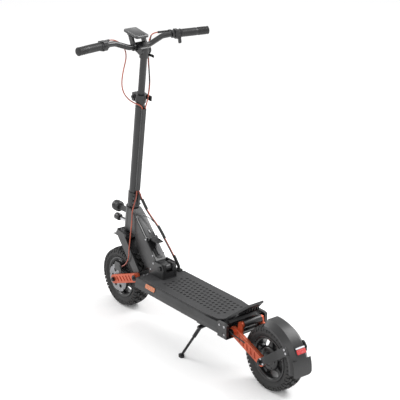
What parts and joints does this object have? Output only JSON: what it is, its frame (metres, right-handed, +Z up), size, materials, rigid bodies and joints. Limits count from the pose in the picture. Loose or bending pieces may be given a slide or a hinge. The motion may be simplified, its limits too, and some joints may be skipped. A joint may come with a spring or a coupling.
{
  "type": "electric kick scooter",
  "caption": "Folding electric kick scooter with sprung swing arms, knobbly tyres, long battery deck, raised rear kick plate and height-adjustable stem with swept grips.",
  "frame": {"origin": "on the ground, at the middle of the plan outline", "axes": "+X is the direction of travel, +Y the rider's left, +Z up"},
  "size_m": [1.24, 0.6224, 1.2006],
  "materials": {
    "dark_paint": "satin charcoal powder coat on aluminium",
    "black_paint": "satin black powder coat on aluminium",
    "mat_rubber": "moulded non-slip rubber",
    "grip_rubber": "matte rubber",
    "soft_black": "soft rubber",
    "tyre": "off-road tyre rubber",
    "orange_metal": "satin copper-orange anodised aluminium",
    "orange_sleeve": "orange cable sleeve",
    "bright_steel": "machined",
    "black_steel": "black oxide",
    "black_plastic": "fine grained black",
    "gloss_black": "glossy black",
    "amber_lens": "prismatic amber",
    "red_lens": "prismatic red",
    "battery_wrap": "blue heat-shrink wrap",
    "controller_case": "extruded aluminium case"
  },
  "bodies": {
    "deck": {"deck_frame": "dark_paint", "deck_cover": "dark_paint", "deck_mat": "mat_rubber", "battery_pack": "battery_wrap", "controller": "controller_case", "side_reflectors": "amber_lens", "rear_bracket": "black_paint", "frame_bolts": "bright_steel", "kick_plate": "dark_paint", "neck_base": "dark_paint", "hinge_block": "black_paint", "hinge_pin": "bright_steel", "cable_gland": "soft_black", "kickstand_bracket": "black_steel", "rear_pivot_bolt": "black_steel", "rear_cable": "black_plastic"},
    "kickstand": {"kickstand_leg": "black_steel"},
    "neck": {"neck_arm": "dark_paint", "headset_bearings": "bright_steel", "headlight": "black_plastic", "horn": "black_plastic", "deck_cable": "orange_sleeve"},
    "latch": {"latch_lever": "black_steel"},
    "steering": {"fork": "black_paint", "front_fender": "black_plastic", "stem_clamp": "black_paint", "stem_clamp_bolts": "black_steel", "stem_outer": "dark_paint", "stem_collar": "black_paint", "front_pivot_bolt": "black_steel", "front_torsion_unit": "soft_black", "front_brake_cable": "orange_sleeve"},
    "collar_lever": {"collar_lever": "black_steel"},
    "upper_stem": {"stem_inner": "dark_paint", "stem_head": "black_paint", "handlebar": "black_paint", "grips": "grip_rubber", "display": "gloss_black", "bar_clamps": "black_plastic", "bar_cables": "orange_sleeve"},
    "bar_lever": {"bar_lever": "black_steel"},
    "brake_lever_left": {"brake_lever_left": "black_steel"},
    "brake_lever_right": {"brake_lever_right": "black_steel"},
    "throttle": {"throttle": "black_plastic"},
    "light_button": {"light_button": "soft_black"},
    "horn_button": {"horn_button": "soft_black"},
    "front_arm": {"front_arms": "orange_metal", "front_axle": "black_steel", "front_caliper": "black_paint"},
    "front_wheel": {"front_tyre": "tyre", "front_rim": "black_paint", "front_rotor": "bright_steel"},
    "rear_arm": {"rear_arms": "orange_metal", "rear_cross_tube": "black_paint", "rear_axle": "black_steel", "rear_fender": "black_plastic", "fender_stays": "black_plastic", "tail_light": "red_lens"},
    "rear_wheel": {"rear_tyre": "tyre", "rear_rim": "black_paint"}
  },
  "joints": [
    {"name": "neck_fold", "type": "hinge", "parent": "deck", "child": "neck", "pos_m": [0.2035, 0, 0.262], "axis": [0, -1, 0], "range_deg": [0, 80], "deforming": ["deck_cable"]},
    {"name": "latch_turn", "type": "hinge", "parent": "neck", "child": "latch", "pos_m": [0.3005, 0, 0.358], "axis": [0, 1, 0], "range_deg": [0, 40]},
    {"name": "steer", "type": "hinge", "parent": "neck", "child": "steering", "pos_m": [0.44461, 0, 0.4056], "axis": [-0.1461, 0, 0.9893], "range_deg": [-35, 35], "deforming": ["deck_cable", "front_brake_cable"]},
    {"name": "collar_lever_turn", "type": "hinge", "parent": "steering", "child": "collar_lever", "pos_m": [0.39063, -0.029, 0.9354], "axis": [-0.1461, 0, 0.9893], "range_deg": [0, 110]},
    {"name": "stem_slide", "type": "slide", "parent": "steering", "child": "upper_stem", "axis": [-0.1461, 0, 0.9893], "range_m": [-0.14, 0], "deforming": ["bar_cables"]},
    {"name": "bar_lever_turn", "type": "hinge", "parent": "upper_stem", "child": "bar_lever", "pos_m": [0.34492, -0.0235, 1.10807], "axis": [-0.1461, 0, 0.9893], "range_deg": [0, 90]},
    {"name": "left_brake", "type": "hinge", "parent": "upper_stem", "child": "brake_lever_left", "pos_m": [0.39697, 0.16635, 1.16315], "axis": [0, 0, 1], "range_deg": [0, 14], "stiffness_Nm_per_rad": 4, "springref_deg": -14.32},
    {"name": "right_brake", "type": "hinge", "parent": "upper_stem", "child": "brake_lever_right", "pos_m": [0.39697, -0.16635, 1.16315], "axis": [0, 0, -1], "range_deg": [0, 14], "stiffness_Nm_per_rad": 4, "springref_deg": -14.32},
    {"name": "throttle_turn", "type": "hinge", "parent": "upper_stem", "child": "throttle", "pos_m": [0.36045, -0.18115, 1.16744], "axis": [-0.2358, -0.9717, 0.0127], "range_deg": [0, 25], "stiffness_Nm_per_rad": 0.5, "springref_deg": -17.19},
    {"name": "light_button_press", "type": "slide", "parent": "upper_stem", "child": "light_button", "axis": [0.9718, 0.2358, 0], "range_m": [0, 0.0012], "stiffness_N_per_m": 600, "springref_m": -0.001},
    {"name": "horn_button_press", "type": "slide", "parent": "upper_stem", "child": "horn_button", "axis": [0.9718, 0.2358, 0], "range_m": [0, 0.0012], "stiffness_N_per_m": 600, "springref_m": -0.001},
    {"name": "front_suspension", "type": "hinge", "parent": "steering", "child": "front_arm", "pos_m": [0.3325, 0, 0.1875], "axis": [0, -1, 0], "range_deg": [0, 14], "stiffness_Nm_per_rad": 150, "springref_deg": -11.46, "deforming": ["front_brake_cable"]},
    {"name": "front_spin", "type": "hinge", "parent": "front_arm", "child": "front_wheel", "pos_m": [0.4925, 0, 0.1275], "axis": [0, 1, 0], "continuous": true},
    {"name": "rear_suspension", "type": "hinge", "parent": "deck", "child": "rear_arm", "pos_m": [-0.3015, 0, 0.1875], "axis": [0, 1, 0], "range_deg": [0, 14], "stiffness_Nm_per_rad": 150, "springref_deg": -11.46, "deforming": ["rear_cable"]},
    {"name": "rear_spin", "type": "hinge", "parent": "rear_arm", "child": "rear_wheel", "pos_m": [-0.4615, 0, 0.1275], "axis": [0, 1, 0], "continuous": true},
    {"name": "kickstand_swing", "type": "hinge", "parent": "deck", "child": "kickstand", "pos_m": [-0.14, 0.093, 0.154], "axis": [0, 1, 0], "range_deg": [0, 110]}
  ]
}
